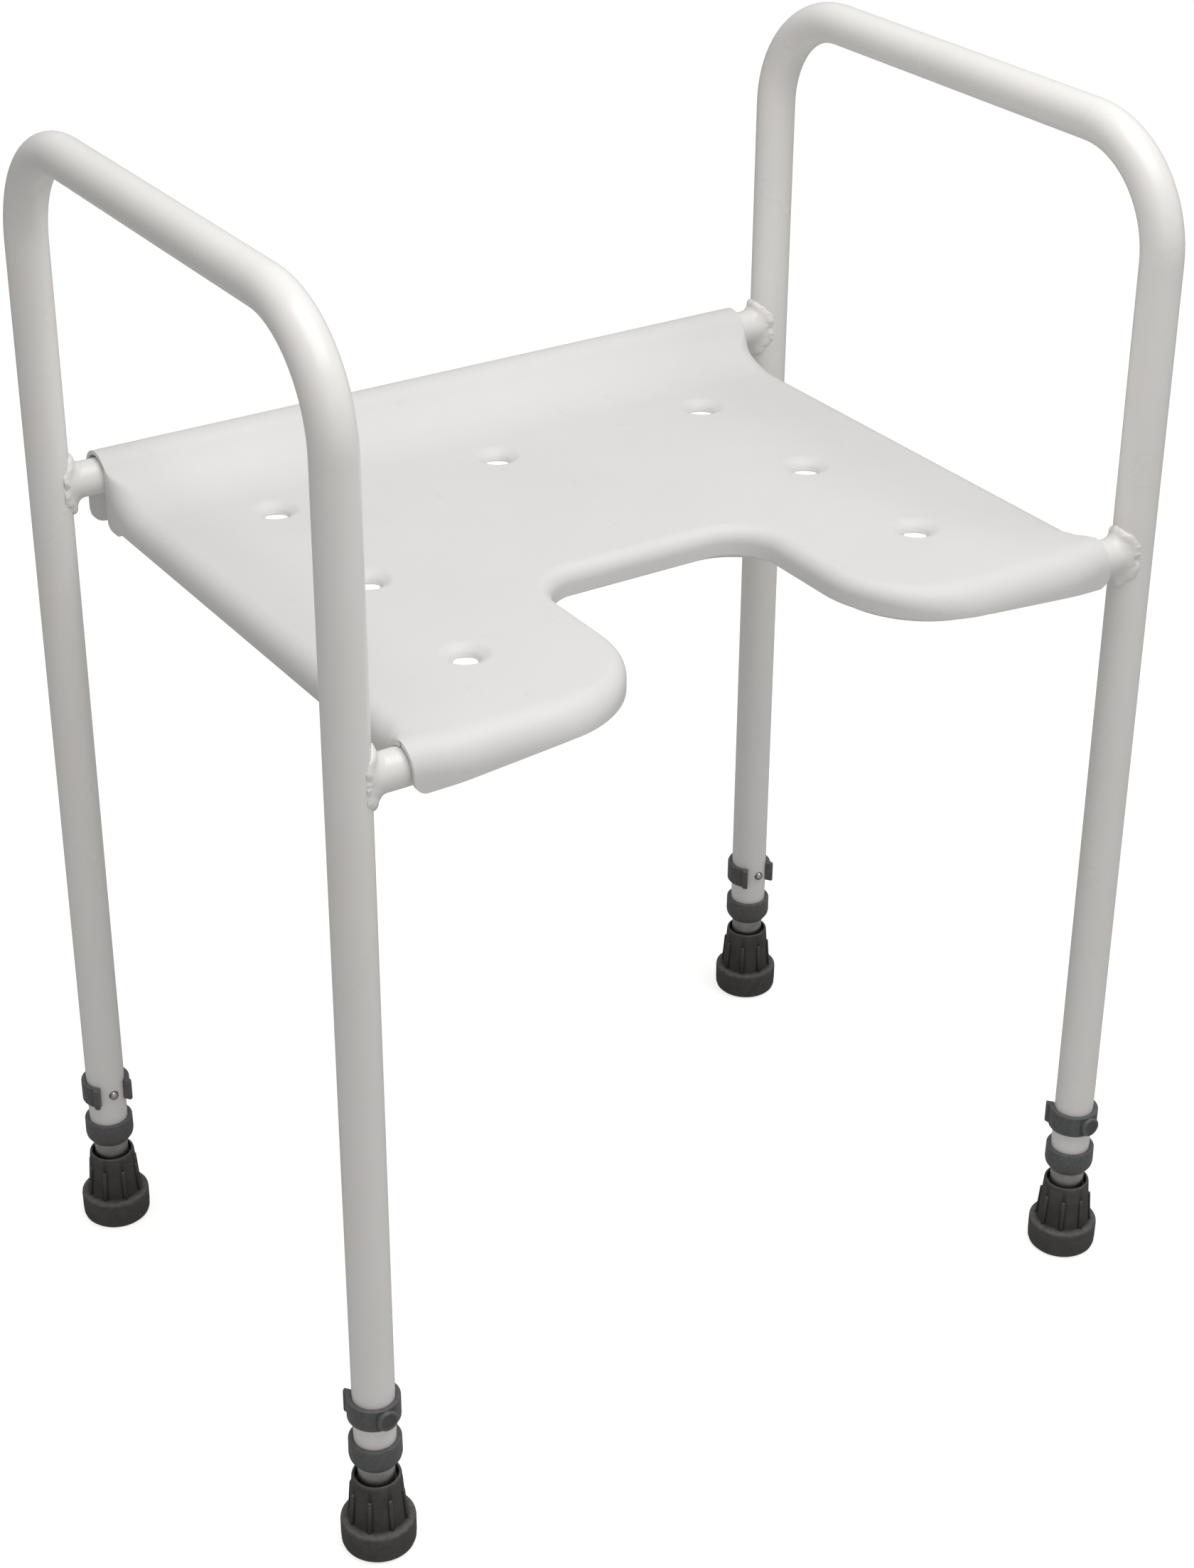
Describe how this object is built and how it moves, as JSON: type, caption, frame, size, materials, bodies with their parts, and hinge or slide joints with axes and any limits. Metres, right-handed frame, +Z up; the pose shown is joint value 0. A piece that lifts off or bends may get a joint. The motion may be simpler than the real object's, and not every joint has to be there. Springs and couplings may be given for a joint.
{
  "type": "shower stool",
  "caption": "Height-adjustable shower stool with tubular side frames that form armrests, a moulded seat with a horseshoe cut-out and drain holes, and rubber feet.",
  "frame": {"origin": "on the floor, under the middle of the stool", "axes": "+Z up, +X to the sitter's left as seen from the front, +Y to the back; the cut-out opens towards -Y"},
  "size_m": [0.5762, 0.4192, 0.7767],
  "materials": {
    "frame_paint": "glossy white powder coat with a fine orange peel",
    "seat_plastic": "satin white moulded plastic with a fine pebble grain",
    "clip_plastic": "dark grey moulded plastic",
    "foot_rubber": "dark grey moulded rubber, lightly scuffed",
    "inner_tube_aluminium": "satin drawn tube",
    "pin_steel": "bright plated steel",
    "washer_steel": "zinc plated steel"
  },
  "bodies": {
    "frame": {"side_frame_left": "frame_paint", "side_frame_right": "frame_paint", "rear_cross_tube": "frame_paint", "front_cross_tube": "frame_paint", "seat": "seat_plastic", "weld_front_left": "frame_paint", "leg_collar_front_left": "clip_plastic", "weld_front_right": "frame_paint", "leg_collar_front_right": "clip_plastic", "weld_rear_left": "frame_paint", "leg_collar_rear_left": "clip_plastic", "weld_rear_right": "frame_paint", "leg_collar_rear_right": "clip_plastic"},
    "foot_front_left": {"leg_extension_front_left": "inner_tube_aluminium", "ferrule_front_left": "foot_rubber", "ferrule_washer_front_left": "washer_steel"},
    "clip_front_left": {"height_clip_front_left": "clip_plastic", "clip_pin_front_left": "pin_steel"},
    "foot_front_right": {"leg_extension_front_right": "inner_tube_aluminium", "ferrule_front_right": "foot_rubber", "ferrule_washer_front_right": "washer_steel"},
    "clip_front_right": {"height_clip_front_right": "clip_plastic", "clip_pin_front_right": "pin_steel"},
    "foot_rear_left": {"leg_extension_rear_left": "inner_tube_aluminium", "ferrule_rear_left": "foot_rubber", "ferrule_washer_rear_left": "washer_steel"},
    "clip_rear_left": {"height_clip_rear_left": "clip_plastic", "clip_pin_rear_left": "pin_steel"},
    "foot_rear_right": {"leg_extension_rear_right": "inner_tube_aluminium", "ferrule_rear_right": "foot_rubber", "ferrule_washer_rear_right": "washer_steel"},
    "clip_rear_right": {"height_clip_rear_right": "clip_plastic", "clip_pin_rear_right": "pin_steel"}
  },
  "joints": [
    {"name": "leg_slide_front_left", "type": "slide", "parent": "frame", "child": "foot_front_left", "axis": [0, 0, -1], "range_m": [0, 0.1524]},
    {"name": "clip_pull_front_left", "type": "slide", "parent": "frame", "child": "clip_front_left", "axis": [0, -1, 0], "range_m": [0, 0.04], "deforming": ["height_clip_front_left"]},
    {"name": "leg_slide_front_right", "type": "slide", "parent": "frame", "child": "foot_front_right", "axis": [0, 0, -1], "range_m": [0, 0.1524]},
    {"name": "clip_pull_front_right", "type": "slide", "parent": "frame", "child": "clip_front_right", "axis": [0, -1, 0], "range_m": [0, 0.04], "deforming": ["height_clip_front_right"]},
    {"name": "leg_slide_rear_left", "type": "slide", "parent": "frame", "child": "foot_rear_left", "axis": [0, 0, -1], "range_m": [0, 0.1524]},
    {"name": "clip_pull_rear_left", "type": "slide", "parent": "frame", "child": "clip_rear_left", "axis": [0, 1, 0], "range_m": [0, 0.04], "deforming": ["height_clip_rear_left"]},
    {"name": "leg_slide_rear_right", "type": "slide", "parent": "frame", "child": "foot_rear_right", "axis": [0, 0, -1], "range_m": [0, 0.1524]},
    {"name": "clip_pull_rear_right", "type": "slide", "parent": "frame", "child": "clip_rear_right", "axis": [0, 1, 0], "range_m": [0, 0.04], "deforming": ["height_clip_rear_right"]}
  ]
}
